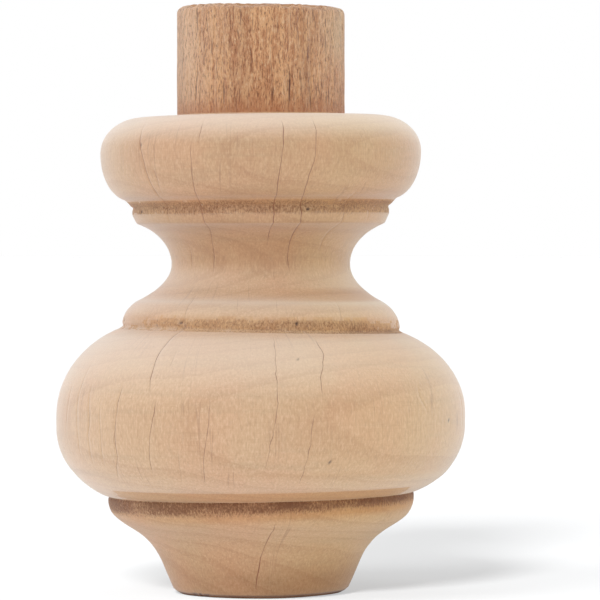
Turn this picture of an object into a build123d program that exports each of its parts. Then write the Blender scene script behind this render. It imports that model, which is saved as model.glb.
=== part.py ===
from build123d import *
from math import acos, degrees, sin
import os

# Turned wooden furniture foot, one piece of timber, in millimetres.
# It stands on its toe at z = 0 with the dowel tenon pointing up +Z, and
# everything but the spur cuts is one outline turned about the Z axis.

# Heights of the mouldings, from the toe up to the shoulder and the tenon
foot_height = 20.8
bun_height = 34.1
collar_height = 6.1
scotia_height = 16.2
lip_height = 3.4
bead_height = 18.9
tenon_length = 22.8

# Foot: a tapered ankle that flares into the lower lip as an ogee, one
# curve whose two pulls set how far it keeps to the taper and to the lip
toe_radius = 17.9
toe_bevel = 0.9
ankle_radius = 20.7
ankle_height = 6.7
ankle_pull = 9.5
flare_pull = 6.6
foot_lip_radius = 32.0
foot_lip_height = 0.65

# Bun: two elliptical arcs with a narrow straight belly between them
bun_radius = 42.75
bun_belly_height = 14.2
bun_belly_flat = 2.3
bun_low_core = 25.4
bun_low_end = 32.1
bun_top_core = 20.6
bun_top_end = 29.6

# Collar: a small leaning swell that stands on the bun
collar_radius = 29.1
collar_core = 21.6
collar_crease_radius = 25.6

# Scotia: a deep hollow with a wide lower sweep and a tighter upper one
throat_radius = 18.7
throat_height = 7.7
scotia_low_reach = 41.6
scotia_top_reach = 13.2

# Upper lip: a narrow band over the scotia, with its lower edge eased off
lip_radius = 26.9
lip_lower_radius = 25.95
lip_face_height = 1.4

# Bead: a large torus with a small cove under it
bead_radius = 33.5
bead_cove_height = 1.7
bead_cove_radius = 28.3
bead_belly_height = 11.5
bead_low_core = 27.4
bead_top_core = 24.9

# Tenon: a plain dowel with a broken top edge
tenon_radius = 17.5
tenon_edge = 0.8

# Quirks: the fine V grooves, cut with a skew's point, that part the mouldings
quirk_depth = 0.4
quirk_width = 0.9
quirk_mouth = 0.4

# Marks that the lathe's two centres leave in the end grain
centre_radius = 1.6
centre_tip_radius = 0.3
centre_depth = 2.3
spur_reach = 6.5
spur_width = 1.1
spur_depth = 1.6
spur_count = 4

# Levels that the moulding heights add up to
foot_top = foot_height
bun_top = foot_top + bun_height
collar_top = bun_top + collar_height
scotia_top = collar_top + scotia_height
lip_top = scotia_top + lip_height
shoulder = lip_top + bead_height
tenon_top = shoulder + tenon_length

bun_belly = foot_top + bun_belly_height
throat = collar_top + throat_height
bead_belly = lip_top + bead_belly_height
cove_top = lip_top + bead_cove_height


def sweep_angle(reach, inset):
    """Angle of a quarter-ellipse arc that draws in by inset over its reach."""
    return degrees(acos(1 - inset / reach))


def swell_up(belly_radius, core, level, end_radius, end_level):
    """Convex arc from its vertical tangent at level up to end_radius."""
    reach = belly_radius - core
    angle = sweep_angle(reach, belly_radius - end_radius)
    rise = (end_level - level) / sin(acos((end_radius - core) / reach))
    return EllipticalCenterArc((core, level), reach, rise, start_angle=0, arc_size=angle)


def swell_down(belly_radius, core, level, end_radius, end_level):
    """Convex arc from end_radius up to its vertical tangent at level."""
    reach = belly_radius - core
    angle = sweep_angle(reach, belly_radius - end_radius)
    rise = (level - end_level) / sin(acos((end_radius - core) / reach))
    return EllipticalCenterArc((core, level), reach, rise, start_angle=-angle, arc_size=angle)


def hollow_down(narrow_radius, reach, level, end_radius, end_level):
    """Concave arc from end_radius up to the narrowest point at level."""
    angle = sweep_angle(reach, end_radius - narrow_radius)
    rise = (level - end_level) / sin(acos(1 - (end_radius - narrow_radius) / reach))
    centre = (narrow_radius + reach, level)
    return EllipticalCenterArc(centre, reach, rise, start_angle=180 + angle, arc_size=-angle)


def hollow_up(narrow_radius, reach, level, end_radius, end_level):
    """Concave arc from the narrowest point at level up to end_radius."""
    angle = sweep_angle(reach, end_radius - narrow_radius)
    rise = (end_level - level) / sin(acos(1 - (end_radius - narrow_radius) / reach))
    centre = (narrow_radius + reach, level)
    return EllipticalCenterArc(centre, reach, rise, start_angle=180, arc_size=-angle)


with BuildPart() as turned_foot:

    # Outline of the turning, on one side of the axis
    with BuildSketch(Plane.XZ):
        with BuildLine():
            toe = Line((0, 0), (toe_radius, 0))
            taper = Line(toe @ 1, (ankle_radius, ankle_height))
            flare = Bezier(
                taper @ 1,
                taper @ 1 + (taper % 1) * ankle_pull,
                (foot_lip_radius, foot_top - foot_lip_height - flare_pull),
                (foot_lip_radius, foot_top - foot_lip_height),
            )
            foot_lip = Line(flare @ 1, (foot_lip_radius, foot_top))
            bun_low = swell_down(bun_radius, bun_low_core, bun_belly, bun_low_end, foot_top)
            Line(foot_lip @ 1, bun_low @ 0)
            Line(bun_low @ 1, (bun_radius, bun_belly + bun_belly_flat))
            bun_high = swell_up(
                bun_radius, bun_top_core, bun_belly + bun_belly_flat, bun_top_end, bun_top
            )
            collar = swell_up(collar_radius, collar_core, bun_top, collar_crease_radius, collar_top)
            Line(bun_high @ 1, collar @ 0)
            scotia_low = hollow_down(
                throat_radius, scotia_low_reach, throat, collar_crease_radius, collar_top
            )
            scotia_high = hollow_up(
                throat_radius, scotia_top_reach, throat, lip_lower_radius, scotia_top
            )
            lip_edge = Line(scotia_high @ 1, (lip_radius, lip_top - lip_face_height))
            lip_face = Line(lip_edge @ 1, (lip_radius, lip_top))
            bead_low = swell_down(
                bead_radius, bead_low_core, bead_belly, bead_cove_radius, cove_top
            )
            Line(lip_face @ 1, bead_low @ 0)
            bead_high = EllipticalCenterArc(
                (bead_top_core, bead_belly),
                bead_radius - bead_top_core,
                shoulder - bead_belly,
                start_angle=0,
                arc_size=90,
            )
            ledge = Line(bead_high @ 1, (tenon_radius, shoulder))
            dowel = Line(ledge @ 1, (tenon_radius, tenon_top))
            end_face = Line(dowel @ 1, (0, tenon_top))
            Line(end_face @ 1, toe @ 0)
        make_face()

        # Quirk at each corner where one moulding meets the next
        with Locations(
            (foot_lip_radius, foot_top),
            (collar_radius, bun_top),
            (lip_radius, lip_top),
        ):
            Polygon(
                (-quirk_depth, 0),
                (quirk_mouth, -quirk_width),
                (quirk_mouth, quirk_width),
                align=None,
                mode=Mode.SUBTRACT,
            )
    revolve(axis=Axis.Z)

    # Worn edge round the toe and broken edge at the top of the tenon
    chamfer(turned_foot.edges().group_by(Axis.Z)[0], length=toe_bevel)
    chamfer(turned_foot.edges().group_by(Axis.Z)[-1], length=tenon_edge)

    # Cone of the tail centre in the toe and of the drive centre in the tenon
    with Locations((0, 0, centre_depth / 2)):
        Cone(centre_radius, centre_tip_radius, centre_depth, mode=Mode.SUBTRACT)
    with Locations((0, 0, tenon_top - centre_depth / 2)):
        Cone(centre_tip_radius, centre_radius, centre_depth, mode=Mode.SUBTRACT)

    # Cuts of the drive centre's spurs across the end of the tenon
    with BuildSketch(Plane.XY.offset(tenon_top)):
        with PolarLocations(spur_reach / 2, spur_count):
            Rectangle(spur_reach, spur_width)
    extrude(amount=-spur_depth, mode=Mode.SUBTRACT)

turned_foot.part.label = "turned_foot"

os.makedirs("parts", exist_ok=True)
export_step(turned_foot.part, "parts/turned_foot.step")
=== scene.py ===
# %% [markdown]
# # A turned furniture foot in raw hardwood
#
# The real thing is one billet of pale, close-grained hardwood, spun between two centres and
# cut to a bun, a hollow and a bead, with a rough dowel left on top to be glued into the
# furniture. It has never been varnished, so all that the eye gets is the wood itself: drying
# checks, growth rings cut through by the curves, torn fibres in the corners where the tool
# could not slice cleanly, and the dark furrows of the dowel.
#
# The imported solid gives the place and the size. This lesson builds a finer skin in its place,
# as one closed surface worked out with numpy, and then a wood that is computed in space, so
# the grain runs through the foot as it would through a real billet.

# %% Load the frame
import math

import bpy
import numpy as np
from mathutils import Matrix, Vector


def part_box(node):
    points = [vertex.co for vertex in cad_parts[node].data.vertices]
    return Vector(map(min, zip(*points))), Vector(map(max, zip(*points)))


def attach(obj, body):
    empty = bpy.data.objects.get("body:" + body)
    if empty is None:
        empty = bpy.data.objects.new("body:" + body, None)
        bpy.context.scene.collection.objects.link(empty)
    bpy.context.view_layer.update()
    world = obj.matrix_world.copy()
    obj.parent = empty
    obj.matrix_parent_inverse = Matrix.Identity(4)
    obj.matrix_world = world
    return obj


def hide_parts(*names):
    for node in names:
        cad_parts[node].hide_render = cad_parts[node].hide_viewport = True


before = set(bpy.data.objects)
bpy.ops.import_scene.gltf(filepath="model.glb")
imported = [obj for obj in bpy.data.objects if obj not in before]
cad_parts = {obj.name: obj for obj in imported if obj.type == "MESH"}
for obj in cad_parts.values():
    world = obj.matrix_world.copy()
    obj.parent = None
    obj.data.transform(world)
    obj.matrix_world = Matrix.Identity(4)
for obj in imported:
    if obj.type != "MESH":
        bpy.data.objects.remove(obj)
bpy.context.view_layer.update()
foot_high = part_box("turned_foot")[1]

MM = 0.001
total_height = foot_high.z / MM
print("the turning stands", round(total_height, 2), "mm high")

# %% [markdown]
# ## The outline, moulding by moulding
#
# A turner thinks of a foot as a stack of mouldings, each with its own height and its own
# sweep, so the outline is built the same way: radius against height, in millimetres, from the
# toe up. A round swell or a hollow is a quarter ellipse that may stop early, and the ankle
# flares into its lip along a cubic curve. It could also be traced as one long spline, but then
# no single moulding could be corrected against the photograph without the rest moving.

# %% Three sweeps that make every moulding
def swell(belly, core, level, end, end_level, count=60):
    """Convex arc: radius = core + reach cos t, height = level + rise sin t, from the belly to end."""
    reach = belly - core
    stop = math.acos((end - core) / reach)
    rise = (end_level - level) / math.sin(stop)
    t = np.linspace(0.0, stop, count)
    return np.column_stack((core + reach * np.cos(t), level + rise * np.sin(t)))


def hollow(narrow, reach, level, end, end_level, count=60):
    """Concave arc: radius = narrow + reach (1 - cos t), height = level + rise sin t."""
    stop = math.acos(1.0 - (end - narrow) / reach)
    rise = (end_level - level) / math.sin(stop)
    t = np.linspace(0.0, stop, count)
    return np.column_stack((narrow + reach * (1.0 - np.cos(t)), level + rise * np.sin(t)))


def flare(start, start_pull, end_pull, end, count=80):
    """Cubic curve from start to end that leaves and arrives along its two pulls."""
    t = np.linspace(0.0, 1.0, count)[:, None]
    points = np.array([start, start_pull, end_pull, end], float)
    weights = ((1 - t) ** 3, 3 * (1 - t) ** 2 * t, 3 * (1 - t) * t**2, t**3)
    return sum(w * p for w, p in zip(weights, points))


# %% The stack of mouldings
FOOT, BUN, COLLAR, SCOTIA, LIP, BEAD = 20.8, 34.1, 6.1, 16.2, 3.4, 18.9
foot_top = FOOT
bun_top = foot_top + BUN
collar_top = bun_top + COLLAR
scotia_top = collar_top + SCOTIA
lip_top = scotia_top + LIP
shoulder = lip_top + BEAD
tenon_top = total_height

toe_radius, ankle_radius, ankle_height, foot_lip_radius = 17.9, 20.7, 6.7, 32.0
toe_bevel, taper_over_bevel, ankle_pull = 0.9, 0.38, 9.5
lip_pull_level, lip_foot_level = foot_top - 7.25, foot_top - 0.65
bun_radius, bun_low_belly, bun_high_belly = 42.75, foot_top + 14.2, foot_top + 16.5
collar_radius, collar_foot, crease_radius, throat_radius = 29.1, bun_top + 0.5, 25.6, 18.7
throat = collar_top + 7.7
lip_radius, lip_lower_radius, lip_face = 26.9, 25.95, 1.4
bead_radius, bead_belly, cove_radius, cove_top = 33.5, lip_top + 11.5, 28.3, lip_top + 1.7
tenon_radius, tenon_edge = 17.5, 0.8

taper = np.array([ankle_radius - toe_radius, ankle_height])
taper /= np.linalg.norm(taper)
ankle = np.array([ankle_radius, ankle_height])
lip_pull, lip_foot = (foot_lip_radius, lip_pull_level), (foot_lip_radius, lip_foot_level)
# A swell's second number is the radius its arc is centred on, a hollow's is its full reach
outline = np.vstack([
    [(0.0, 0.0), (toe_radius - toe_bevel, 0.0), (toe_radius + taper_over_bevel, toe_bevel)],
    flare(ankle, ankle + ankle_pull * taper, lip_pull, lip_foot),
    swell(bun_radius, 25.4, bun_low_belly, 32.1, foot_top)[::-1],
    swell(bun_radius, 20.6, bun_high_belly, 29.6, bun_top),
    swell(collar_radius, 21.6, collar_foot, crease_radius, collar_top),
    hollow(throat_radius, 41.6, throat, crease_radius, collar_top)[::-1],
    hollow(throat_radius, 13.2, throat, lip_lower_radius, scotia_top),
    [(lip_radius, lip_top - lip_face), (lip_radius, lip_top)],
    swell(bead_radius, 27.4, bead_belly, cove_radius, cove_top)[::-1],
    swell(bead_radius, 24.9, bead_belly, 24.9, shoulder),
    [(tenon_radius, shoulder), (tenon_radius, tenon_top - tenon_edge)],
    [(tenon_radius - tenon_edge, tenon_top), (0.0, tenon_top)],
])
print("outline of", len(outline), "points, widest", outline[:, 0].max(), "mm")

# %% [markdown]
# ## Quirks and sanding
#
# Where two mouldings meet, the turner runs the point of a skew chisel in and leaves a fine V
# groove, a quirk. After that the whole foot is sanded while it spins, which eases every
# corner. The quirk is one point pushed into the outline; the sanding is a moving average
# along it, wider at the tenon's rim and a little at the toe, where knocks wear the wood most.

# %% Cut the quirks, then ease the corners
def along(line):
    """Length along a line up to each of its points."""
    return np.concatenate(([0.0], np.cumsum(np.hypot(*np.diff(line, axis=0).T))))


def walk(line, step):
    """The same line with points a small even step apart."""
    reach = along(line)
    stops = np.linspace(0.0, reach[-1], int(reach[-1] / step))
    return np.column_stack([np.interp(stops, reach, line[:, k]) for k in (0, 1)])


def cut_quirk(line, radius, level, depth=0.30, mouth=0.5):
    """Takes away the points within mouth of the corner and puts one point depth inside it."""
    near = np.hypot(line[:, 0] - radius, line[:, 1] - level) < mouth
    first, last = np.flatnonzero(near)[[0, -1]]
    return np.vstack([line[:first], [(radius - depth, level)], line[last + 1:]])


def sand(line, spread, step):
    """Moving average of the line under a bell curve of the given spread, in millimetres."""
    half = int(4 * spread / step)
    bell = np.exp(-0.5 * (np.arange(-half, half + 1) * step / spread) ** 2)
    bell /= bell.sum()
    mirror = np.array([-1.0, 1.0])
    padded = np.vstack([line[half:0:-1] * mirror, line, line[-2:-half - 2:-1] * mirror])
    return np.column_stack([np.convolve(padded[:, k], bell, "valid") for k in (0, 1)])


STEP = 0.04
CRISP_SPREAD, WORN_SPREAD = 0.20, 0.55
END_MIDDLE = 8.0
fine = walk(outline, STEP)
quirk_corners = ((foot_lip_radius, foot_top), (collar_radius, collar_foot), (lip_radius, lip_top))
for corner in quirk_corners:
    fine = cut_quirk(fine, *corner)
fine = walk(fine, STEP)

crisp, worn = sand(fine, CRISP_SPREAD, STEP), sand(fine, WORN_SPREAD, STEP)
toe_wear = 0.2 * np.exp(-((fine[:, 1] / 2.2) ** 2))
rim_wear = np.exp(-(((fine[:, 1] - tenon_top) / 1.2) ** 2))
wear = np.clip(toe_wear + rim_wear, 0.0, 1.0) * (fine[:, 0] > END_MIDDLE)
fine = crisp + (worn - crisp) * wear[:, None]
fine[[0, -1], 0] = 0.0
print("sanded outline", round(along(fine)[-1], 1), "mm long")

# %% [markdown]
# ## Where the rings of points go
#
# The skin is a grid: rings of points stacked along the outline, and columns that run from the
# toe to the tenon. Rings are cheap where the wood is plain and are wanted where it is cut, so
# they are spread by a density along the outline instead of evenly.

# %% Rings, close together at the quirks and arrises
def bump_at(values, centre, width):
    """Bell of height 1 around centre."""
    return np.exp(-(((values - centre) / width) ** 2))


RINGS, COLUMNS_WANTED = 238, 416
minor_corners = (
    (lip_lower_radius, scotia_top),
    (crease_radius, collar_top),
    (tenon_radius, shoulder),
    (tenon_radius, tenon_top),
)
run = along(fine)
r_fine, z_fine = fine.T
density = np.ones_like(run)
# How much denser the rings lie at each kind of corner, and over how many mm
for corners, extra, width in ((quirk_corners, 2.6, 1.6), (minor_corners, 1.3, 1.4)):
    for radius, level in corners:
        distance = np.hypot(r_fine - radius, z_fine - level)
        density += extra * bump_at(distance, 0.0, width)
plain_end = (z_fine < 0.02) | ((z_fine > tenon_top - 0.02) & (r_fine > END_MIDDLE))
density *= np.where(plain_end, 0.55, 1.0)
share = np.cumsum(density)
share = (share - share[0]) / (share[-1] - share[0])
stops = np.interp(np.linspace(0.0, 1.0, RINGS + 2), share, run)[1:-1]
ring_r = np.interp(stops, run, r_fine)[:, None]
ring_z = np.interp(stops, run, z_fine)[:, None]
slope_r, slope_z = np.gradient(r_fine, run), np.gradient(z_fine, run)
out_r = np.interp(stops, run, slope_z)[:, None]
out_z = np.interp(stops, run, -slope_r)[:, None]
print(RINGS, "rings, for about", COLUMNS_WANTED, "columns")

# %% [markdown]
# ## Columns that follow the rays of the tree
#
# Wood dries and shrinks most around the pith, so it splits along rays: straight lines that run
# out from the pith and straight up the trunk. This billet's pith is taken to lie a little to
# the left of the lathe's axis, which is a guess. The columns of the grid are spread by ray
# angle from there, and three of them are drawn together wherever a check runs, so its V has
# real walls. A check is a short list of heights and ray angles that follows the photograph.

# %% Drying checks, by height in mm and ray angle in degrees (0 faces the viewer, + is right)
PITH = np.array([-4.0, 1.0])

# Each family shares one set of three columns and lists its path from the toe up
ray_paths = [
    [(33, -66), (40, -65), (47, -66)],
    [(27, -58), (34, -57), (50, -59)],
    [(27, -52), (38, -50), (47, -53)],
    [(27, -46), (34, -44.5), (50, -47)],
    [(25, -43), (30, -39), (45, -37), (66, -39), (73, -37), (84, -37), (91, -40), (98, -44),
     (100.5, -39), (111, -35)],
    [(83, -34.5), (86, -34), (90, -35), (101, -33), (111, -31)],
    [(26, -29), (42, -27), (47, -28), (51, -28), (56, -25), (63, -24)],
    [(26, -27.5), (29, -27), (35, -26), (42, -24), (48, -22), (52, -21)],
    [(26, -18), (31, -17), (66, -19), (73, -18), (76, -16.5), (81, -18), (95, -18)],
    [(92, -15), (99, -14.5), (102, -12)],
    [(24, -11), (30, -10), (35, -9), (42, -8), (112, -7.4)],
    [(23, -2), (30, -2), (99, -1), (110, 6)],
    [(1, 8), (10, 10), (17, 13), (27, 7), (31, 7), (39, 9), (50, 10), (55, 12), (62, 16),
     (72, 14), (79, 14), (81, 13), (85, 13), (91, 14), (98, 15)],
    [(5, 12.5), (9, 13), (17, 16), (64, 18.5), (69, 19), (101, 19.6)],
    [(24, 17), (34, 18), (40, 19.5), (62, 22), (82, 21), (101, 25)],
    [(42, 22), (46, 22), (51, 25), (66, 28), (72, 26), (78, 25), (84, 23), (89, 24), (99, 27),
     (101, 29.5)],
    [(53, 37), (57, 39), (61, 42), (70, 46), (74, 44), (100, 44), (118, 41)],
    [(38, 55), (42, 52), (45, 53), (78, 59), (81, 57)],
]
# Which stretches are open: family, from height, to height, how open it is
open_stretches = [
    (0, 34, 45, 0.5), (1, 29, 49, 0.6), (2, 28, 45, 0.7), (3, 28, 41, 0.6), (4, 25, 45, 0.9),
    (4, 66.5, 73, 0.9), (4, 77, 98, 0.9), (5, 83, 89.5, 0.7), (6, 42.5, 56, 1.0), (6, 56.5, 63, 0.8),
    (7, 26, 42, 1.0), (7, 47, 52, 0.7), (8, 24, 33, 0.6), (8, 66, 80.5, 0.9), (8, 77, 94, 1.0),
    (9, 92, 99, 0.8), (10, 24, 42, 0.8), (11, 22, 29, 0.6), (11, 58, 63, 0.6), (12, 1, 17, 1.0),
    (12, 27, 55, 0.8), (12, 59, 62.5, 0.7), (12, 72, 98.5, 1.0), (13, 64.5, 68.5, 0.7), (13, 5, 9, 0.5),
    (14, 24, 40, 0.8), (15, 42, 55, 0.9), (15, 66, 99, 1.0), (16, 53, 62, 0.6), (16, 70, 84, 0.7),
    (17, 38, 45, 0.5), (17, 77, 82, 0.7), (4, 101, 111, 0.8), (9, 101.5, 106.5, 0.7),
    (10, 112, 116, 0.8), (11, 110, 114.5, 0.8), (13, 101, 106, 0.7), (15, 100.5, 109, 0.9),
    (16, 100, 105, 0.7), (16, 116.5, 121, 0.7),
]
print(len(ray_paths), "check families in view,", len(open_stretches), "open stretches")

# %% Checks on the far side, by chance
chance = np.random.default_rng(5)
for middle in np.arange(75.0, 290.0, 16.0):
    lean = middle + chance.uniform(-4.0, 4.0)
    stations = (15, 30, 48, 58, 72, 88, 101, 118)
    ray_paths.append([(height, lean + chance.uniform(-2.0, 2.0)) for height in stations])
    low = chance.uniform(22.0, 34.0)
    for start in (low, 62.0, 82.0, 101.0)[: chance.integers(2, 5)]:
        stretch = chance.uniform(7.0, 18.0)
        open_stretches.append((len(ray_paths) - 1, start, start + stretch, chance.uniform(0.5, 1.0)))
print(len(ray_paths), "check families all round")

# %% Spread the columns by ray angle
def patches(turn, way, around, tall, seed):
    """Random values at the crossings of a grid that closes round the foot, blended smoothly between.

    turn is in turns round the axis and way in mm along the outline.
    """
    grid = np.random.default_rng(seed).uniform(-1.0, 1.0, (int(300 / tall) + 4, around))
    i, j = np.floor(turn * around).astype(int), np.floor(way / tall).astype(int)
    across, up = turn * around - i, way / tall - j
    across, up = across**2 * (3 - 2 * across), up**2 * (3 - 2 * up)
    low = grid[j, i % around] * (1 - across) + grid[j, (i + 1) % around] * across
    high = grid[j + 1, i % around] * (1 - across) + grid[j + 1, (i + 1) % around] * across
    return low * (1 - up) + high * up


def opened(height, start, end, width):
    """How far a check gapes: width in its middle, closing to nothing over 2.5 mm at each end."""
    ends = np.minimum(height - start, end - height)
    return width * np.clip(ends / 2.5, 0.0, 1.0) ** 0.7


CELLS_ROUND = 997  # far more than there are families, so each takes random values of its own
LEAST_APART = 0.35
PLAIN_SIDE = 0.8
way = stops[:, None]
families = len(ray_paths)
middle = np.column_stack([np.interp(ring_z[:, 0], *np.transpose(path)) for path in ray_paths])
gape = np.zeros((RINGS, families))
for family, start, end, width in open_stretches:
    gape[:, family] = np.maximum(gape[:, family], opened(ring_z[:, 0], start, end, width))
own = np.arange(families)[None, :] / families
wander = 0.45 * patches(own, way, CELLS_ROUND, 5.0, 21) + 0.25 * patches(own, way, CELLS_ROUND, 1.6, 22)
middle += wander * (ring_r > 12)
gape *= 0.8 + 0.25 * patches(own, way, CELLS_ROUND, 2.2, 23)
keep_apart = LEAST_APART * np.arange(families)
middle = np.maximum.accumulate(middle - keep_apart, axis=1) + keep_apart

gap_up = np.diff(middle, axis=1, append=middle[:, :1] + 360.0)
gap_down = np.roll(gap_up, 1, axis=1)
wall = 0.09 + 0.06 * gape + 0.08 * (ring_z > shoulder)
side = np.where(gape > 0.0, np.degrees(wall / np.maximum(ring_r, 6.0)), PLAIN_SIDE)
side = np.minimum(side, 0.4 * np.minimum(gap_up, gap_down))
knots = np.stack([middle - side, middle, middle + side], axis=2).reshape(RINGS, -1)
knots = np.hstack([knots, knots[:, :1] + 360.0])

spare = (COLUMNS_WANTED - 3 * families) * gap_up.mean(axis=0) / 360.0
between = np.maximum(np.floor(spare).astype(int), 1)
steps = np.ones(3 * families, int)
steps[2::3] += between
knot_column = np.concatenate(([0], np.cumsum(steps)))
COLUMNS = int(knot_column[-1])
column = np.arange(COLUMNS)
before = np.searchsorted(knot_column, column, side="right") - 1
part = (column - knot_column[before]) / steps[before]
ray = np.radians(knots[:, before] * (1 - part) + knots[:, before + 1] * part)
gape_here = np.zeros((RINGS, COLUMNS))
gape_here[:, knot_column[1::3]] = gape
print(COLUMNS, "columns,", 2 * COLUMNS * RINGS, "triangles")

# %% [markdown]
# ## From ray angles to points
#
# A point lies where the ray from the pith meets the ring's circle. Close to the lathe's axis
# the rays would have to start outside the ring, so there the pith is drawn in to the axis; that
# part of the skin is only the two flat ends.

# %% Meet each ray with its ring
def ease(values, start, end):
    """Smooth step from 0 at start to 1 at end."""
    t = np.clip((values - start) / (end - start), 0.0, 1.0)
    return t * t * (3.0 - 2.0 * t)


draw_in = ease(ring_r, 0.0, 16.0)
pith_x, pith_y = PITH[0] * draw_in, PITH[1] * draw_in
ray_x, ray_y = np.sin(ray), -np.cos(ray)
ahead = pith_x * ray_x + pith_y * ray_y
reach = -ahead + np.sqrt(ring_r**2 - pith_x**2 - pith_y**2 + ahead**2)
point_x, point_y = pith_x + reach * ray_x, pith_y + reach * ray_y
around_x, around_y = point_x / ring_r, point_y / ring_r
turn = np.arctan2(point_x, -point_y) / (2 * math.pi)

# %% [markdown]
# ## Relief: what the tools left in the wood
#
# Everything that stands out or lies deep enough to catch light is real shape, measured along
# the outline's own outward direction: the faint waviness of a turned surface, the walls of the
# checks, the fibres torn out beside the quirks, and the furrows of the dowel, which was never
# sanded. Only what is finer than the grid is left to the bump of the material.

# %% Where each kind of surface is
def band(height, low, high, soft):
    """1 between low and high, fading over soft at each end."""
    return ease(height, low - soft, low + soft) * (1.0 - ease(height, high - soft, high + soft))


def strip(low_edge, low, high, high_edge):
    """1 between two heights, rising over low_edge to low and falling over high to high_edge."""
    return ease(ring_z, low_edge, low) * (1.0 - ease(ring_z, high, high_edge))


def strongest(*masks):
    """The highest of several masks at each point."""
    return np.maximum.reduce(np.broadcast_arrays(*masks))


angle = turn * 360.0
rightwards = np.sin(turn * 2 * math.pi)
to_the_right = 0.5 + 0.5 * rightwards
off_the_sides = 1.0 - ease(np.abs(rightwards), 0.72, 0.93)
tilt = 1.2 * rightwards
on_tenon = ease(ring_z, shoulder + 0.2, shoulder + 0.9) * (ring_r > tenon_radius - 2.0)

# Torn, dirty fibres with painted shade of the corners, heavier at the right: the upper lip, the foot of
# the collar, the quirk under it, the lower lip
torn_and_shade = strongest(
    0.50 * strip(78.2, 79.6, 81.3, 82.3),
    strip(55.3, 55.8, 56.6, 58.6) * (0.32 + 0.28 * to_the_right) * (0.5 + 0.5 * off_the_sides),
    strip(54.7, 54.9, 55.5, 56.1) * (0.25 + 0.35 * to_the_right),
    strip(17.0 + tilt, 19.4 + 0.8 * tilt, 20.6, 20.95) * (0.76 + 0.19 * to_the_right),
)
ragged = 0.5 + 0.5 * patches(turn, way, 190, 0.7, 31)
torn_and_shade_here = torn_and_shade * (0.92 + 0.18 * patches(turn, way, 34, 1.6, 32))

# Painted warm shade, where wood lights wood in the hollows: round both lips, on the collar and above
# its crease, and two thin lines, a turned line low on the bun and painted shade under the upper lip
warm_shade_and_line = strongest(
    strip(80.2, 81.0, 82.6, 84.8) * (0.40 + 0.15 * to_the_right),
    strip(20.7, 21.0, 22.6, 23.5) * (0.60 + 0.45 * to_the_right) * (0.2 + 0.8 * off_the_sides),
    strip(16.0 + tilt, 17.4 + tilt, 20.6, 20.9) * (0.30 + 0.60 * to_the_right),
    0.40 * strip(55.3, 55.8, 57.2, 58.8),
    strip(61.0, 61.6, 62.9, 64.4) * to_the_right**2,
    0.3 * bump_at(ring_z, 26.4, 0.45) * (0.6 + 0.4 * to_the_right),
    0.27 * bump_at(ring_z, 76.2, 0.8),
)

# Stain on the scotia, the bead and the ankle, and painted shade towards the toe, heaviest at the right,
# with a little on the lower left of the foot
stain = 0.7 * band(ring_z, 80.0, 99.0, 3.0) + 0.4 * band(ring_z, 2.0, 17.0, 4.0)
stain = stain + 1.4 * band(ring_z, 67.5, 79.0, 3.0) * (1.0 - 0.35 * ease(to_the_right, 0.6, 0.85))
stain = stain * (0.75 + 0.25 * patches(turn, way, 12, 9.0, 33))
painted_toe_shade = (1.0 - ease(ring_z, 2.0, 10.0)) * (0.35 + 0.9 * to_the_right)
painted_toe_shade = painted_toe_shade + 0.3 * (1.0 - ease(ring_z, 14.0, 18.0)) * (1.0 - to_the_right) ** 3

# Painted highlight: paler on what faces up, less so at the right, a painted highlight line on the
# crease over the collar, and a pale band low in the scotia, fainter at the front
on_bun, on_collar, on_bead = (band(ring_z, *ends, 1.0) for ends in ((30, 54), (57.5, 62), (90, 99.6)))
painted_highlight = on_bun * (1.0 - 0.6 * ease(to_the_right, 0.6, 1.0)) + 0.6 * on_collar + 0.9 * on_bead
painted_highlight = ease(out_z, 0.15, 0.85) * painted_highlight + 0.5 * bump_at(ring_z, 60.9, 0.5)
painted_highlight = painted_highlight + strip(62.6, 64.5, 65.5, 69.5) * (0.55 - 0.40 * bump_at(angle, 5.0, 35.0))

# The right side is a little yellower; the dowel has painted light at its left, the lit side, and is
# bleached at upper right
yellowed = ease(to_the_right, 0.45, 0.9)
painted_left_light = bump_at(angle, -75.0, 40.0) * (0.8 + 0.3 * patches(turn, way, 25, 6.0, 34))
weathered = bump_at(angle, 66.0, 20.0) * bump_at(ring_z, 118.0, 7.0)
weathered = weathered * (0.85 + 0.4 * patches(turn, way, 40, 5.0, 35))
print("torn over", round(100 * float((torn_and_shade_here > 0.3).mean()), 1), "per cent of the points")

# %% Pits and specks, by degrees round from the front and height in mm
pits = [
    (-67, 79.7), (20.9, 79.9), (-80, 56.6), (-34.3, 56.6), (14.6, 56.8), (128, 80.1),
    (171, 56.3), (-141, 19.4),
]
specks = [(11.2, 49.5), (26.7, 46.3), (19.6, 28.7), (64.5, 36.4), (-47.0, 93.0), (140.0, 33.0)]


def spot(angle_round, level, width, tall=0.38):
    """Bell of height 1 around one place on the skin, with its width and height in mm."""
    sideways = np.radians(angle - angle_round) * ring_r
    return np.exp(-((sideways / width) ** 2) - ((ring_z - level) / tall) ** 2)


pitted = np.zeros_like(turn)
for angle_round, level in pits:
    pitted += spot(angle_round, level, 0.42)
for angle_round, level in specks:
    # A speck is as small as the rings are apart, so it is set on the nearest one
    nearest = ring_z[np.argmin(np.abs(ring_z[:, 0] - level)), 0]
    pitted += 0.75 * spot(angle_round, nearest, 0.36)
print(len(pits), "pits and", len(specks), "specks")

# %% Raise and cut the skin
TORN_DEPTH, CHECK_DEPTH, DEEPER_ON_DOWEL, PIT_DEPTH = 0.14, 0.09, 0.14, 0.25
SPUR_REACH, SPUR_HALF, SPUR_DEPTH = 6.5, 0.55, 1.6
CENTRE_RADIUS, CENTRE_DEPTH = 1.7, 2.3

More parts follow.
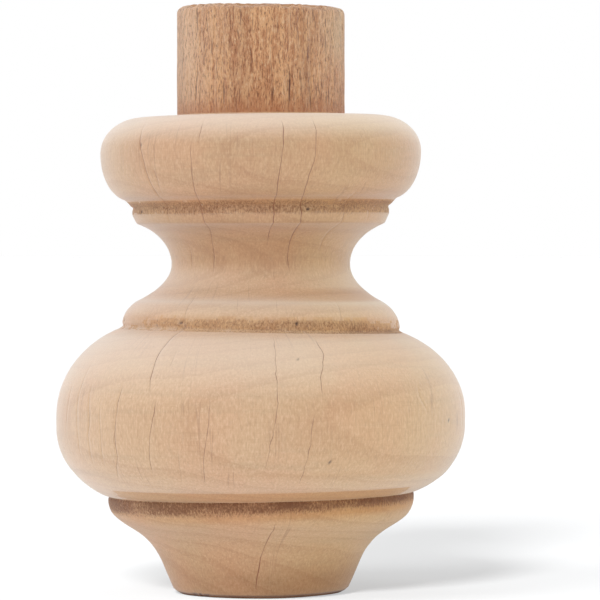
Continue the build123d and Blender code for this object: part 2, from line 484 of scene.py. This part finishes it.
furrow = patches(turn, way, 200, 11.0, 41) + 0.6 * patches(turn, way, 140, 5.0, 42)
split = np.clip(patches(turn, way, 120, 16.0, 43) - 0.45, 0.0, 1.0)
relief = 0.10 * patches(turn, way, 5, 22.0, 51) + 0.025 * patches(turn, way, 9, 1.7, 52)
relief = relief * (1.0 - on_tenon) + on_tenon * (0.075 * furrow - 0.45 * split)
relief -= TORN_DEPTH * ease(torn_and_shade_here, 0.1, 0.7) * ragged
relief -= (CHECK_DEPTH + DEEPER_ON_DOWEL * on_tenon) * gape_here + PIT_DEPTH * pitted

# Marks of the lathe's two centres, and the saw's scratches across the tenon's end
from_x, from_y = np.abs(point_x), np.abs(point_y)
along_x = (from_y < SPUR_HALF) * (from_x < SPUR_REACH)
along_y = (from_x < SPUR_HALF) * (from_y < SPUR_REACH)
spurs = SPUR_DEPTH * np.maximum(along_x, along_y)
cone = CENTRE_DEPTH * np.clip(1.0 - ring_r / CENTRE_RADIUS, 0.0, 1.0)
sawn = 0.10 * patches((point_x + 40) / 90, point_y + 40, 120, 0.9, 61)
relief -= (ring_z > tenon_top - 0.05) * (np.maximum(spurs, cone) + sawn * (ring_r > 1.8))
relief -= (ring_z < 0.05) * cone

x = point_x + relief * out_r * around_x
y = point_y + relief * out_r * around_y
z = ring_z + relief * out_z
print("relief from", round(relief.min(), 2), "to", round(relief.max(), 2), "mm")

# %% [markdown]
# ## Seasoning and wear
#
# Timber moves as it dries, so the mouldings of the real foot are no longer quite level: they
# lean by up to a degree, some one way and some the other. The toe's right side is worn away a
# little more than its left, and its left edge has lost some splinters. The rim of the dowel
# is bruised and frayed all round.

# %% Lean, wear and broken edges
RIGHT_WEAR, FRAY_DEPTH, CHIP_DEPTH = 0.3, 0.7, 0.3
# How far each level rises per mm to the right
lean_levels = (0.0, 8.0, 16.0, 20.8, 25.0, 36.0, 50.0, 55.5, 62.0, 68.0, 76.0, 80.0, 99.5, 122.3)
leans = (0.0, 0.008, 0.006, 0.018, 0.008, 0.012, -0.008, -0.018, -0.008, 0.0, 0.0, 0.009, 0.009, -0.011)
z = z + np.interp(ring_z, lean_levels, leans) * x

z = z + RIGHT_WEAR * ease(x, 2.0, 16.5) * (1.0 - ease(z, 0.0, 6.0))
frayed = np.clip(patches(turn, way, 110, 3.0, 71) + 0.4 * patches(turn, way, 45, 6.0, 72), 0.0, 1.0)
z = z - FRAY_DEPTH * frayed * ease(ring_z, tenon_top - 1.6, tenon_top) * ease(ring_r, 15.0, 17.0)
splinters = np.clip(0.35 + patches(turn, way, 170, 0.8, 73), 0.0, 1.0)
chip = band(angle, -54.0, -38.0, 6.0) * (1.0 - ease(ring_z, 0.4, 1.6))
chip = chip * ease(ring_r, 14.5, 16.5) * splinters
x, y = x - CHIP_DEPTH * chip * around_x, y - CHIP_DEPTH * chip * around_y
z = np.maximum(z, 0.0)
print("lowest point", round(z.min(), 3), "mm, highest", round(z.max(), 3), "mm")

# %% [markdown]
# ## One closed mesh
#
# The grid is closed round the back by letting the last column meet the first, and at both ends
# by a fan of triangles to a point on the axis. What the materials need to know about a place is
# stored on its points, so it follows the surface wherever the mesh goes.

# %% Build the mesh and store the masks
def skin_mesh(name, x, y, z, low_tip, high_tip):
    """Closed mesh of quads between neighbouring rings, with a fan of triangles at each pole."""
    rings, columns = x.shape
    grid = np.arange(rings * columns).reshape(rings, columns)
    here, beyond = grid[:-1], grid[1:]
    quads = np.stack([here, np.roll(here, -1, 1), np.roll(beyond, -1, 1), beyond], axis=-1)
    quads = quads.reshape(-1, 4)
    toe, tip = rings * columns, rings * columns + 1
    first, last = grid[0], grid[-1]
    low_fan = np.column_stack([np.full(columns, toe), np.roll(first, -1), first])
    high_fan = np.column_stack([np.full(columns, tip), last, np.roll(last, -1)])
    corners = np.concatenate([quads.ravel(), low_fan.ravel(), high_fan.ravel()]).astype(np.int32)
    counts = np.concatenate([np.full(len(quads), 4), np.full(2 * columns, 3)])
    starts = np.concatenate([[0], np.cumsum(counts)[:-1]]).astype(np.int32)
    points = np.stack([x, y, z], axis=-1).reshape(-1, 3)
    points = np.vstack([points, low_tip, high_tip]) * MM
    mesh = bpy.data.meshes.new(name)
    mesh.vertices.add(len(points))
    mesh.vertices.foreach_set("co", points.astype(np.float32).ravel())
    mesh.loops.add(len(corners))
    mesh.loops.foreach_set("vertex_index", corners)
    mesh.polygons.add(len(counts))
    mesh.polygons.foreach_set("loop_start", starts)
    mesh.update(calc_edges=True)
    mesh.validate()
    mesh.shade_smooth()
    return mesh


def store(mesh, name, values, toe=0.0, tip=0.0):
    """Puts one number on each point, for a material to read by name."""
    numbers = np.concatenate([np.broadcast_to(values, x.shape).ravel(), [toe, tip]])
    mesh.attributes.new(name, "FLOAT", "POINT").data.foreach_set("value", numbers.astype(np.float32))


low_tip, high_tip = (0.0, 0.0, CENTRE_DEPTH), (0.0, 0.0, tenon_top - CENTRE_DEPTH)
skin = skin_mesh("raw_turned_foot", x, y, z, low_tip, high_tip)
masks = {
    "check": gape_here,
    "torn_and_shade": torn_and_shade_here,
    "stain": stain,
    "painted_toe_shade": painted_toe_shade,
    "painted_highlight": painted_highlight,
    "warm_shade_and_line": warm_shade_and_line,
    "yellowed": yellowed,
    "pitted": pitted,
    "painted_left_light": painted_left_light,
    "weathered": weathered,
    # Chips at the toe, and painted contact shade along its bottom edge
    "chips_and_contact_shade": 0.7 * chip + (1.0 - ease(ring_z, 0.25, 1.1)) * ease(ring_r, 15.0, 16.5),
}
for name, values in masks.items():
    store(skin, name, values)
foot = bpy.data.objects.new("raw_turned_foot", skin)
bpy.context.scene.collection.objects.link(foot)
print(len(skin.polygons), "faces on", len(skin.vertices), "points, with", len(masks), "masks")

# %% [markdown]
# ## Words for building materials
#
# A material is a small machine of nodes. Written out one call at a time it hides the wood
# behind the plumbing, so a few short helpers carry the plumbing and the cells below can be
# read as sentences about the timber.

# %% Helpers that add and join nodes
def put(tree, kind, inputs=(), **settings):
    """Adds a node, sets its properties, then fills its inputs with sockets or plain values."""
    made = tree.nodes.new("ShaderNode" + kind)
    for name, value in settings.items():
        setattr(made, name, value)
    for key, value in dict(inputs).items():
        if isinstance(value, bpy.types.NodeSocket):
            tree.links.new(value, made.inputs[key])
        else:
            made.inputs[key].default_value = value
    return made


def calc(tree, operation, *values):
    """One step of arithmetic on numbers."""
    return put(tree, "Math", dict(enumerate(values)), operation=operation).outputs[0]


def fade(tree, value, start, end):
    """Smooth step from 0 at start to 1 at end."""
    inputs = {"Value": value, "From Min": start, "From Max": end}
    return put(tree, "MapRange", inputs, interpolation_type="SMOOTHSTEP").outputs[0]


def stretch(tree, place, x, y, z):
    """The place with each axis multiplied: a larger number makes a finer pattern."""
    return put(tree, "VectorMath", {0: place, 1: (x, y, z)}, operation="MULTIPLY").outputs[0]


def cloud(tree, place, detail=2.0, roughness=0.5):
    """Soft noise from 0 to 1 with lumps about one unit wide."""
    inputs = {"Vector": place, "Scale": 1.0, "Detail": detail, "Roughness": roughness}
    return put(tree, "TexNoise", inputs).outputs[0]


def tint(tree, share, first, second, blend_type="MIX"):
    """Mixes two colours."""
    inputs = {0: share, 6: first, 7: second}
    return put(tree, "Mix", inputs, data_type="RGBA", blend_type=blend_type).outputs[2]


def glaze(tree, colour, where, strength, other, blend_type="MIX"):
    """Lays another colour over this one as far as the mask, times its strength, says."""
    return tint(tree, calc(tree, "MULTIPLY", where, strength), colour, other, blend_type)


def group(name, inputs, outputs):
    """A new node group with named sockets: its tree, what comes in and what goes out."""
    tree = bpy.data.node_groups.new(name, "ShaderNodeTree")
    for label, kind in inputs.items():
        tree.interface.new_socket(label, in_out="INPUT", socket_type="NodeSocket" + kind)
    for label, kind in outputs.items():
        tree.interface.new_socket(label, in_out="OUTPUT", socket_type="NodeSocket" + kind)
    come, go = tree.nodes.new("NodeGroupInput"), tree.nodes.new("NodeGroupOutput")
    return tree, come.outputs, go.inputs


def srgb(red, green, blue):
    """A colour as the eye names it, 0 to 255, turned into the linear light that nodes mix."""
    parts = np.array([red, green, blue]) / 255.0
    return (*np.where(parts > 0.04045, ((parts + 0.055) / 1.055) ** 2.4, parts / 12.92), 1.0)


# %% [markdown]
# ## Growth rings, fibres and rays
#
# A tree adds one cone of wood a year, so on a turned foot the rings show as contour lines that
# follow the mouldings, closed circles on the ends and long streaks down the sides. They could
# be painted on the surface, but then they would not meet round the corners. Here they are
# worked out from the distance to the pith, in space, and bent a little by noise as real wood
# is. Fibres and pores are long and thin and run up the trunk; the rays are short dark flecks.

# %% The timber as a group
YEAR_WIDTH = 2.7
timber, given, timber_out = group(
    "timber",
    {"Position": "Vector"},
    dict.fromkeys(["Rings", "Fibres", "Pores", "Flecks", "Cloud", "Hairlines", "Grain"], "Float"),
)
in_mm = stretch(timber, given["Position"], 1000.0, 1000.0, 1000.0)
from_pith = put(timber, "VectorMath", {0: in_mm, 1: (*-PITH, 0.0)}, operation="ADD").outputs[0]
sway = cloud(timber, stretch(timber, from_pith, 0.045, 0.045, 0.016), 1.0)
flat = stretch(timber, from_pith, 1.0, 1.0, 0.0)
distance = put(timber, "VectorMath", {0: flat}, operation="LENGTH").outputs["Value"]
grown = calc(timber, "MULTIPLY_ADD", sway, 3.0, distance)
years = calc(timber, "DIVIDE", grown, YEAR_WIDTH)
by_year = put(timber, "CombineXYZ", {0: calc(timber, "MULTIPLY", years, 0.6)}).outputs[0]
uneven = cloud(timber, by_year, 1.0)
years = calc(timber, "MULTIPLY_ADD", uneven, 1.5, years)
season = calc(timber, "FRACT", years)
late = fade(timber, season, 0.45, 0.95)
ended = fade(timber, season, 0.995, 0.955)
timber.links.new(calc(timber, "MULTIPLY", late, ended), timber_out["Rings"])
fibres = cloud(timber, stretch(timber, in_mm, 1.9, 1.9, 0.09), 3.0, 0.65)
timber.links.new(fibres, timber_out["Fibres"])
pore_noise = cloud(timber, stretch(timber, in_mm, 4.6, 4.6, 0.75), 1.0)
timber.links.new(fade(timber, pore_noise, 0.57, 0.70), timber_out["Pores"])
fleck_noise = cloud(timber, stretch(timber, in_mm, 2.1, 2.1, 0.55), 0.0)
timber.links.new(fade(timber, fleck_noise, 0.60, 0.75), timber_out["Flecks"])
drift = cloud(timber, stretch(timber, in_mm, 0.05, 0.05, 0.035), 3.0, 0.55)
timber.links.new(drift, timber_out["Cloud"])
grain = cloud(timber, stretch(timber, in_mm, 2.6, 2.6, 0.9), 3.0, 0.7)
timber.links.new(grain, timber_out["Grain"])

# Hairline checks are where a slow noise crosses its middle value, seen along the rays
outwards = put(timber, "VectorMath", {0: flat}, operation="NORMALIZE").outputs[0]
upright = stretch(timber, in_mm, 0.0, 0.0, 0.022)
along_rays = {0: outwards, 1: (24.0, 24.0, 24.0), 2: upright}
along_rays = put(timber, "VectorMath", along_rays, operation="MULTIPLY_ADD").outputs[0]
slow = cloud(timber, along_rays, 1.0)
off_middle = calc(timber, "ABSOLUTE", calc(timber, "SUBTRACT", slow, 0.5))
hair = fade(timber, off_middle, 0.020, 0.002)
short = fade(timber, cloud(timber, stretch(timber, in_mm, 0.11, 0.11, 0.06), 1.0), 0.53, 0.66)
timber.links.new(calc(timber, "MULTIPLY", hair, short), timber_out["Hairlines"])
print("timber group with", len(timber.nodes), "nodes")

# %% [markdown]
# ## Turning marks
#
# The foot was shaped and sanded while it spun, so every scratch runs round it. The marks are
# noise that is fine along the axis and long round it. The angle itself would leave a seam at
# the back; the direction from the axis, a point on a circle, has none.

# %% Turning marks as a group
turning_outputs = {"Marks": "Float", "Bands": "Float"}
turning, given, turning_out = group("turning_marks", {"Position": "Vector"}, turning_outputs)
in_mm = stretch(turning, given["Position"], 1000.0, 1000.0, 1000.0)
axle = put(turning, "SeparateXYZ", {0: in_mm}).outputs
flat = stretch(turning, given["Position"], 1.0, 1.0, 0.0)
facing = put(turning, "VectorMath", {0: flat}, operation="NORMALIZE").outputs[0]
facing = put(turning, "SeparateXYZ", {0: facing}).outputs


def round_noise(tree, round_scale, up_scale, detail):
    """Noise that is long round the axis and short along it."""
    across = calc(tree, "MULTIPLY", facing[0], round_scale)
    deep = calc(tree, "MULTIPLY", facing[1], round_scale)
    up = calc(tree, "MULTIPLY", axle[2], up_scale)
    place = put(tree, "CombineXYZ", {0: across, 1: deep, 2: up})
    return cloud(tree, place.outputs[0], detail)


turning.links.new(round_noise(turning, 9.0, 4.2, 1.0), turning_out["Marks"])
turning.links.new(round_noise(turning, 1.5, 0.45, 2.0), turning_out["Bands"])
print("turning group with", len(turning.nodes), "nodes")

# %% [markdown]
# ## Sanded wood
#
# The mouldings are pale and matt. Their colour is a warm straw that drifts between a pinker
# and a greyer tone, with the rings as faint lines. Dust and dirt have stayed in the torn
# fibres beside the quirks and in the checks, which turns them brown, and painted shade
# darkens those corners more. Fine sanding raises a soft nap that glows at the edges, so one
# recipe makes three woods: the sanded one, a duller copy that stands in for the shade on the
# foot below the bun, and one for the torn corners that the sandpaper missed. Painted
# highlights pale the upper slopes, and painted warm shade fills the hollows under the mouldings.

# %% Colours of the timber
pale = srgb(208, 172, 134)
pink = srgb(210, 167, 130)
grey_tone = srgb(190, 159, 124)
ring_brown = srgb(178, 130, 90)
dirt_and_shade_brown = srgb(110, 66, 42)
stain_brown = srgb(220, 206, 184)
highlight_pale = srgb(232, 216, 199)
warm_shade_tint = srgb(236, 212, 176)
toe_shade_tint = srgb(212, 196, 180)
check_brown = srgb(124, 68, 44)
pit_brown = srgb(84, 58, 46)
chip_and_shade_brown = srgb(96, 60, 42)
yellow = srgb(254, 254, 240)
light_fibre = srgb(238, 208, 176)
dark_fibre = srgb(184, 138, 102)


def mask(tree, name):
    """A mask that the mesh carries."""
    return put(tree, "Attribute", attribute_name=name).outputs["Fac"]


def wood_material(name):
    """A new material with its shader, the object coordinates and the two wood groups."""
    made = bpy.data.materials.new(name)
    made.use_nodes = True
    tree = made.node_tree
    shader = tree.nodes["Principled BSDF"]
    place = put(tree, "TexCoord").outputs["Object"]
    wood = put(tree, "Group", node_tree=timber)
    marks = put(tree, "Group", node_tree=turning)
    tree.links.new(place, wood.inputs[0])
    tree.links.new(place, marks.inputs[0])
    return made, tree, shader, place, wood.outputs, marks.outputs


def moulding_wood(name, sheen, specular):
    """Wood of the mouldings: sheen is high where fine sanding left a nap, low in the corners."""
    made, tree, shader, place, wood, marks = wood_material(name)
    colour = tint(tree, fade(tree, wood["Cloud"], 0.35, 0.62), pink, pale)
    colour = glaze(tree, colour, fade(tree, marks["Bands"], 0.50, 0.72), 0.35, grey_tone)
    colour = glaze(tree, colour, wood["Rings"], 0.27, ring_brown)
    colour = glaze(tree, colour, fade(tree, wood["Fibres"], 0.48, 0.78), 0.22, ring_brown)
    colour = glaze(tree, colour, fade(tree, marks["Marks"], 0.5, 0.8), 0.22, ring_brown)
    colour = glaze(tree, colour, fade(tree, wood["Grain"], 0.50, 0.66), 0.26, light_fibre)
    colour = glaze(tree, colour, fade(tree, wood["Grain"], 0.50, 0.36), 0.26, dark_fibre)
    colour = glaze(tree, colour, wood["Pores"], 0.24, ring_brown)
    colour = glaze(tree, colour, wood["Flecks"], 0.08, dirt_and_shade_brown)
    colour = glaze(tree, colour, wood["Hairlines"], 0.26, check_brown)
    colour = glaze(tree, colour, mask(tree, "stain"), 0.7, stain_brown, "MULTIPLY")
    # Painted highlight on the upper slopes and along the crease
    colour = glaze(tree, colour, mask(tree, "painted_highlight"), 0.45, highlight_pale)
    # Painted warm shade in the hollows and under the mouldings, and one thin turned line
    colour = tint(tree, mask(tree, "warm_shade_and_line"), colour, warm_shade_tint, "MULTIPLY")
    colour = tint(tree, mask(tree, "yellowed"), colour, yellow, "MULTIPLY")
    # Painted shade towards the toe
    colour = tint(tree, mask(tree, "painted_toe_shade"), colour, toe_shade_tint, "MULTIPLY")
    grit = cloud(tree, stretch(tree, place, 3000.0, 3000.0, 1500.0), 3.0, 0.75)
    # Torn fibres, darkened by dirt and by painted shade of the corners
    dirt_and_shade = calc(tree, "MULTIPLY_ADD", calc(tree, "SUBTRACT", grit, 0.5), 1.7, mask(tree, "torn_and_shade"))
    dirt_and_shade = fade(tree, dirt_and_shade, 0.15, 0.95)
    dirt_and_shade = calc(tree, "MULTIPLY", dirt_and_shade, fade(tree, mask(tree, "torn_and_shade"), 0.02, 0.3))
    colour = glaze(tree, colour, dirt_and_shade, 0.88, dirt_and_shade_brown)
    colour = tint(tree, fade(tree, mask(tree, "pitted"), 0.15, 0.8), colour, pit_brown)
    colour = glaze(tree, colour, fade(tree, mask(tree, "check"), 0.12, 0.75), 0.85, check_brown)
    # Chipped splinters, and painted contact shade along the toe's bottom edge
    chips_and_contact_shade = calc(tree, "MULTIPLY", mask(tree, "chips_and_contact_shade"), calc(tree, "ADD", grit, 0.5))
    colour = tint(tree, fade(tree, chips_and_contact_shade, 0.2, 0.9), colour, chip_and_shade_brown)
    tree.links.new(colour, shader.inputs["Base Color"])
    rough = calc(tree, "MULTIPLY_ADD", wood["Fibres"], 0.25, 0.45)
    rough = calc(tree, "MULTIPLY_ADD", dirt_and_shade, 0.25, rough)
    tree.links.new(rough, shader.inputs["Roughness"])
    height = calc(tree, "MULTIPLY", wood["Fibres"], 0.5)
    height = calc(tree, "MULTIPLY_ADD", wood["Pores"], -0.6, height)
    height = calc(tree, "MULTIPLY_ADD", marks["Marks"], 0.35, height)
    height = calc(tree, "MULTIPLY_ADD", calc(tree, "MULTIPLY", grit, dirt_and_shade), 3.0, height)
    bump = put(tree, "Bump", {"Strength": 0.35, "Distance": 0.00012, "Height": height})
    tree.links.new(bump.outputs[0], shader.inputs["Normal"])
    shader.inputs["Sheen Weight"].default_value = sheen
    shader.inputs["Sheen Roughness"].default_value = 0.5
    shader.inputs["Specular IOR Level"].default_value = specular
    print(name, "with", len(tree.nodes), "nodes")
    return made


sanded = moulding_wood("sanded_wood", 0.66, 0.7)
# A duller copy that stands in for the shade on the foot below the bun
shaded = moulding_wood("shaded_wood", 0.22, 0.35)
unsanded = moulding_wood("corner_wood", 0.15, 0.4)

# %% [markdown]
# ## The dowel and the ends
#
# The dowel was turned fast and left as the tool left it: reddish brown, with torn fibres that
# stand up as pale threads between dark furrows. The two ends show the wood cut straight
# across, which drinks in dirt and looks darker, with the rings as circles and the rays as
# fine lines out from the pith.

# %% Rough dowel
dowel_brown, dowel_straw = srgb(195, 134, 89), srgb(224, 171, 123)
left_light_pale, silvered = srgb(232, 196, 162), srgb(214, 186, 144)
gap_brown, thread_pale = srgb(116, 64, 38), srgb(236, 202, 162)
furrow_brown, late_brown = srgb(112, 64, 40), srgb(120, 78, 54)
shoulder_tan, split_brown = srgb(184, 116, 74), srgb(96, 50, 34)

rough_turned, tree, shader, place, wood, marks = wood_material("rough_turned_dowel")
wobble = {"Vector": stretch(tree, place, 260, 260, 150), "Scale": 1.0, "Detail": 1.0}
wobble = put(tree, "TexNoise", wobble).outputs[1]
bent = {0: wobble, 1: (0.0011, 0.0011, 0.0), 2: place}
bent = put(tree, "VectorMath", bent, operation="MULTIPLY_ADD").outputs[0]
thread = cloud(tree, stretch(tree, bent, 3400.0, 3400.0, 760.0), 3.0, 0.8)
stripe = cloud(tree, stretch(tree, bent, 900.0, 900.0, 90.0), 2.0, 0.6)
dark_line = cloud(tree, stretch(tree, bent, 2000.0, 2000.0, 130.0), 2.0, 0.6)
colour = tint(tree, fade(tree, stripe, 0.35, 0.65), dowel_brown, dowel_straw)
# Painted light on the dowel's left, the side the light comes from
colour = glaze(tree, colour, mask(tree, "painted_left_light"), 0.6, left_light_pale)
colour = glaze(tree, colour, mask(tree, "weathered"), 0.7, silvered)
colour = glaze(tree, colour, fade(tree, thread, 0.51, 0.65), 0.8, gap_brown)
colour = glaze(tree, colour, fade(tree, thread, 0.48, 0.34), 0.75, thread_pale)
colour = glaze(tree, colour, fade(tree, dark_line, 0.58, 0.70), 0.65, furrow_brown)
colour = glaze(tree, colour, wood["Rings"], 0.15, late_brown)
up = put(tree, "SeparateXYZ", {0: place}).outputs[2]
foot_of_dowel = fade(tree, up, (shoulder + 4.5) * MM, (shoulder + 0.5) * MM)
colour = glaze(tree, colour, foot_of_dowel, 0.5, shoulder_tan)
colour = tint(tree, fade(tree, mask(tree, "check"), 0.10, 0.6), colour, split_brown)
tree.links.new(colour, shader.inputs["Base Color"])
tree.links.new(calc(tree, "MULTIPLY_ADD", thread, 0.3, 0.6), shader.inputs["Roughness"])
height = calc(tree, "SUBTRACT", 1.0, thread)
bump = put(tree, "Bump", {"Strength": 0.9, "Distance": 0.0005, "Height": height})
tree.links.new(bump.outputs[0], shader.inputs["Normal"])
shader.inputs["Sheen Weight"].default_value = 0.35
shader.inputs["Sheen Roughness"].default_value = 0.5
print("rough dowel with", len(tree.nodes), "nodes")

# %% End grain
end_brown, end_straw = srgb(176, 132, 96), srgb(192, 150, 114)
ring_dark, pore_dark = srgb(128, 84, 56), srgb(110, 70, 48)
ray_pale, edge_chips_and_shade = srgb(214, 176, 138), srgb(92, 60, 44)

end_grain, tree, shader, place, wood, marks = wood_material("end_grain")
colour = tint(tree, fade(tree, wood["Cloud"], 0.35, 0.65), end_brown, end_straw)
colour = glaze(tree, colour, wood["Rings"], 0.55, ring_dark)
colour = glaze(tree, colour, wood["Pores"], 0.5, pore_dark)
pith_away = {0: place, 1: (-PITH[0] * MM, -PITH[1] * MM, 0.0)}
pith_away = put(tree, "VectorMath", pith_away, operation="ADD").outputs[0]
outwards = {0: stretch(tree, pith_away, 1, 1, 0)}
outwards = put(tree, "VectorMath", outwards, operation="NORMALIZE").outputs[0]
ray_noise = cloud(tree, stretch(tree, outwards, 26.0, 26.0, 1.0), 2.0, 0.7)
colour = glaze(tree, colour, fade(tree, ray_noise, 0.56, 0.72), 0.45, ray_pale)
# Chipped splinters, and painted contact shade along the toe's bottom edge
colour = glaze(tree, colour, mask(tree, "chips_and_contact_shade"), 0.8, edge_chips_and_shade)
tree.links.new(colour, shader.inputs["Base Color"])
shader.inputs["Roughness"].default_value = 0.85
shader.inputs["Specular IOR Level"].default_value = 0.15
height = calc(tree, "MULTIPLY", wood["Pores"], -1.0)
height = calc(tree, "MULTIPLY_ADD", wood["Rings"], 0.6, height)
bump = put(tree, "Bump", {"Strength": 0.6, "Distance": 0.0002, "Height": height})
tree.links.new(bump.outputs[0], shader.inputs["Normal"])
print("end grain with", len(tree.nodes), "nodes")

# %% Give each face its wood
SHADED_BELOW = 23.2
for material in (sanded, rough_turned, end_grain, unsanded, shaded):
    skin.materials.append(material)
SANDED, DOWEL, END, CORNER, SHADED = range(5)
ring_level, ring_radius = ring_z[:, 0], ring_r[:, 0]
ring_kind = np.full(RINGS + 1, SANDED)
ring_kind[1:][ring_level > shoulder + 0.12] = DOWEL
ring_kind[1:][(ring_level > tenon_top - 0.1) & (ring_radius < tenon_radius - 1.0)] = END
ring_kind[:-1][ring_level < SHADED_BELOW] = SHADED
ring_kind[:-1][ring_level < 0.8] = END
side_kind = np.repeat(ring_kind[1:-1, None], COLUMNS, axis=1)
near_a_side = off_the_sides[:-1] + 0.5 * ragged[:-1] < 0.5
side_kind[(side_kind == SHADED) & (ring_level[:-1, None] > foot_top) & near_a_side] = SANDED
in_corner = (torn_and_shade_here * (0.6 + ragged))[:-1] > 0.3
side_kind[in_corner & ((side_kind == SANDED) | (side_kind == SHADED))] = CORNER
kinds = np.concatenate([side_kind.ravel(), np.full(2 * COLUMNS, END)])
skin.polygons.foreach_set("material_index", kinds.astype(np.int32))
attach(foot, "root")
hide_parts("turned_foot")
print("faces of sanded, dowel, end, corner and shaded wood:", np.bincount(kinds))

# %% [markdown]
# ## A white table
#
# The foot stands in a light tent: white all round, with its shadow falling back and to the
# right. What the camera sees as pure white is partly a glow that only the camera and mirror
# images see, so the floor can still take a shadow and the wood gets no more light than the
# tent gives.

# %% Floor
HALF_SPAN, GLOW = 40.0, 0.51
floor_mesh = bpy.data.meshes.new("white_table")
near_edge = [(-HALF_SPAN, -HALF_SPAN, 0), (HALF_SPAN, -HALF_SPAN, 0)]
far_edge = [(HALF_SPAN, HALF_SPAN, 0), (-HALF_SPAN, HALF_SPAN, 0)]
floor_mesh.from_pydata(near_edge + far_edge, [], [(0, 1, 2, 3)])
floor = bpy.data.objects.new("white_table", floor_mesh)
bpy.context.scene.collection.objects.link(floor)

paint = bpy.data.materials.new("white_table")
paint.use_nodes = True
tree = paint.node_tree
shader = tree.nodes["Principled BSDF"]
path = put(tree, "LightPath").outputs
mirrored = calc(tree, "MAXIMUM", path["Is Glossy Ray"], path["Is Transmission Ray"])
seen = calc(tree, "MAXIMUM", path["Is Camera Ray"], mirrored)
for_the_wood, for_the_eye = (0.245, 0.245, 0.245, 1.0), (0.134, 0.136, 0.138, 1.0)
tree.links.new(tint(tree, seen, for_the_wood, for_the_eye), shader.inputs["Base Color"])
shader.inputs["Roughness"].default_value = 0.9
shader.inputs["Specular IOR Level"].default_value = 0.0
glow_strength = calc(tree, "MULTIPLY", seen, GLOW)
glow = put(tree, "Emission", {"Color": (1, 1, 1, 1), "Strength": glow_strength})
both = put(tree, "AddShader", {0: shader.outputs[0], 1: glow.outputs[0]})
tree.links.new(both.outputs[0], tree.nodes["Material Output"].inputs["Surface"])
floor_mesh.materials.append(paint)
print("white table,", 2 * HALF_SPAN, "m across")

# %% [markdown]
# ## Soft light
#
# The tent is the world itself, an even white. Two big soft panels add what the photograph
# shows: a little more light from above and from the left, which together with the painted
# highlights is why the upper slopes of the mouldings are the palest. The two lamps that cast
# the shadow are kept for the table alone, because on the wood they would be stronger than the
# tent. A strong one in front gives the shadow its direction, and a weak, wide one at the left
# softens and widens it.

# %% World, panels and the table's own lamps
world = bpy.data.worlds.new("light_tent")
bpy.context.scene.world = world
world.use_nodes = True
tree = world.node_tree
seen = put(tree, "LightPath").outputs["Is Camera Ray"]
tent = tint(tree, seen, (0.99, 0.99, 0.99, 1.0), (1.0, 1.0, 1.0, 1.0))
tree.links.new(tent, tree.nodes["Background"].inputs["Color"])


def panel(name, place, aim, width, height, watts):
    """Soft rectangular lamp at place that faces aim, sizes in metres."""
    lamp = bpy.data.lights.new(name, "AREA")
    lamp.shape = "RECTANGLE"
    lamp.size, lamp.size_y, lamp.energy = width, height, watts
    made = bpy.data.objects.new(name, lamp)
    made.location = place
    direction = Vector(aim) - Vector(place)
    made.rotation_euler = direction.to_track_quat("-Z", "Y").to_euler()
    bpy.context.scene.collection.objects.link(made)
    return made


middle_height = (0.0, 0.0, 0.06)
panel("panel_left", (-0.8, -0.3, 0.5), middle_height, 0.8, 0.8, 1.1)
panel("panel_top", (0.0, 0.10, 0.9), middle_height, 0.6, 0.6, 1.1)

table_only = bpy.data.collections.new("lit_by_table_lamps")
table_only.objects.link(floor)


def table_lamp(name, height, turn_from_front, energy, spread):
    """Sun that lights the table alone, angles in degrees, turned to the left where negative."""
    up, aside = math.radians(height), math.radians(turn_from_front)
    lamp = bpy.data.lights.new(name, "SUN")
    lamp.energy, lamp.angle = energy, math.radians(spread)
    made = bpy.data.objects.new(name, lamp)
    towards = Vector((
        math.cos(up) * math.sin(aside),
        -math.cos(up) * math.cos(aside),
        math.sin(up),
    ))
    made.rotation_euler = (-towards).to_track_quat("-Z", "Y").to_euler()
    bpy.context.scene.collection.objects.link(made)
    made.light_linking.receiver_collection = table_only


table_lamp("front_lamp", 27.0, -14.0, 14.0, 13.0)
table_lamp("left_lamp", 45.0, -50.0, 3.7, 30.0)
print(len(bpy.data.lights), "lamps in the tent")

# %% [markdown]
# ## The camera
#
# The photograph was taken from far away with a long lens, a little above half the height of
# the foot. The distance and height come from how round the shoulder and the toe look. A long
# lens keeps the sides of the foot straight; a near, wide one would swell the bun.

# %% Camera and colour
DISTANCE, EYE_HEIGHT = 0.8786, 0.07165
LOOKING_DOWN, LOOKING_RIGHT = 0.682, 0.533
camera = bpy.data.cameras.new("camera")
camera.lens, camera.sensor_width = 252.0, 36.0
camera.clip_end = 100.0
eye = bpy.data.objects.new("camera", camera)
eye.location = (0.0, -DISTANCE, EYE_HEIGHT)
eye.rotation_euler = (math.radians(90.0 - LOOKING_DOWN), 0.0, math.radians(-LOOKING_RIGHT))
bpy.context.scene.collection.objects.link(eye)
bpy.context.scene.camera = eye
bpy.context.scene.view_settings.view_transform = "Standard"
print("camera", DISTANCE, "m away with a lens of", camera.lens, "mm")
